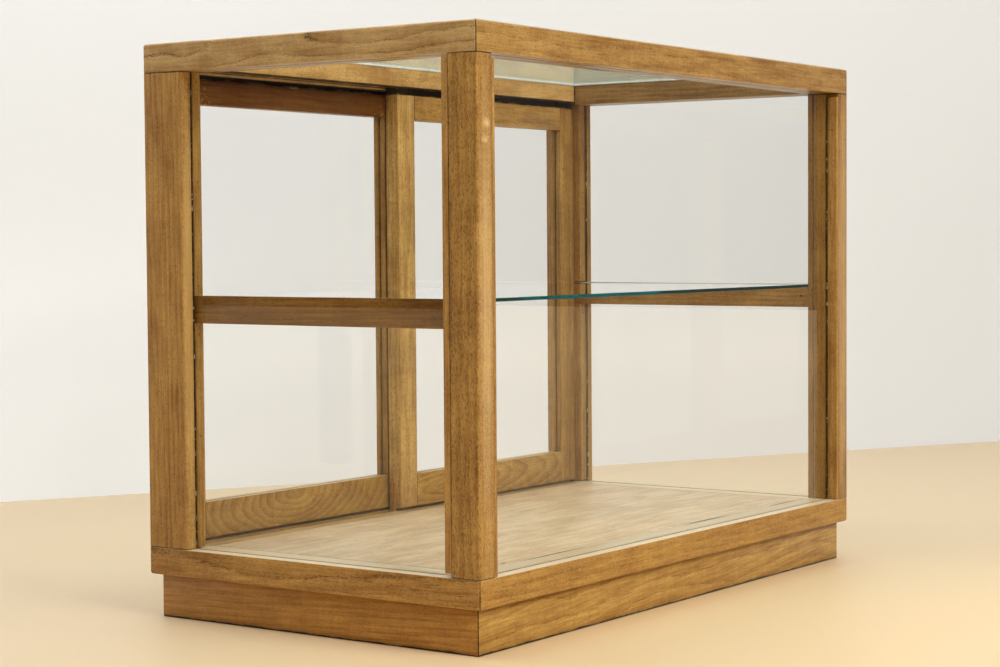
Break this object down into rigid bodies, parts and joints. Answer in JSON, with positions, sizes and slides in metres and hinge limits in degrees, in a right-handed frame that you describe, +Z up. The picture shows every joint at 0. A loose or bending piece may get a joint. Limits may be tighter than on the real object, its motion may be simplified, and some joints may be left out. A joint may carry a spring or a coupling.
{
  "type": "glass display case",
  "caption": "Counter-top glass display case with an oiled hardwood frame, fixed glass, a lift-out glass shelf and sliding glazed doors at the back.",
  "frame": {"origin": "middle of the plinth's underside, on the surface that the case stands on", "axes": "+X runs along the glazed front to the right as seen from the front, +Y runs from the front to the sliding doors at the back, +Z is up"},
  "size_m": [0.636, 0.36, 0.5],
  "materials": {
    "frame_wood": "oiled hardwood",
    "plinth_wood": "oiled hardwood",
    "bead_wood": "oiled hardwood",
    "door_wood": "oiled hardwood",
    "floor_board": "pale bare board",
    "pane_glass": "clear sheet glass",
    "shelf_glass": "clear sheet glass with a ground edge"
  },
  "bodies": {
    "case": {"plinth_front": "plinth_wood", "plinth_right": "plinth_wood", "plinth_back": "plinth_wood", "plinth_left": "plinth_wood", "plinth_corner_blocks": "plinth_wood", "base_rail_front": "frame_wood", "base_rail_right": "frame_wood", "base_rail_back": "frame_wood", "base_rail_left": "frame_wood", "top_rail_front": "frame_wood", "top_rail_right": "frame_wood", "top_rail_back": "frame_wood", "top_rail_left": "frame_wood", "post_front_left": "frame_wood", "post_front_right": "frame_wood", "post_back_left": "frame_wood", "post_back_right": "frame_wood", "end_bead_left": "bead_wood", "end_bead_right": "bead_wood", "front_bead_left": "bead_wood", "front_bead_right": "bead_wood", "upper_strip_left": "bead_wood", "upper_strip_right": "bead_wood", "lower_strip_left": "bead_wood", "lower_strip_right": "bead_wood", "shelf_rail_left": "bead_wood", "shelf_rail_right": "bead_wood", "floor_panel": "floor_board", "front_glass": "pane_glass", "left_end_glass": "pane_glass", "right_end_glass": "pane_glass", "top_glass": "pane_glass"},
    "shelf": {"glass_shelf": "shelf_glass"},
    "inner_door": {"inner_door_left_stile": "door_wood", "inner_door_right_stile": "door_wood", "inner_door_top_rail": "door_wood", "inner_door_bottom_rail": "door_wood", "inner_door_glass": "pane_glass"},
    "outer_door": {"outer_door_left_stile": "door_wood", "outer_door_right_stile": "door_wood", "outer_door_top_rail": "door_wood", "outer_door_bottom_rail": "door_wood", "outer_door_glass": "pane_glass"}
  },
  "joints": [
    {"name": "inner_door_slide", "type": "slide", "parent": "case", "child": "inner_door", "axis": [-1, 0, 0], "range_m": [0, 0.283]},
    {"name": "outer_door_slide", "type": "slide", "parent": "case", "child": "outer_door", "axis": [1, 0, 0], "range_m": [0, 0.278]},
    {"name": "shelf_lift", "type": "slide", "parent": "case", "child": "shelf", "axis": [0, 0, 1], "range_m": [0, 0.19]}
  ]
}
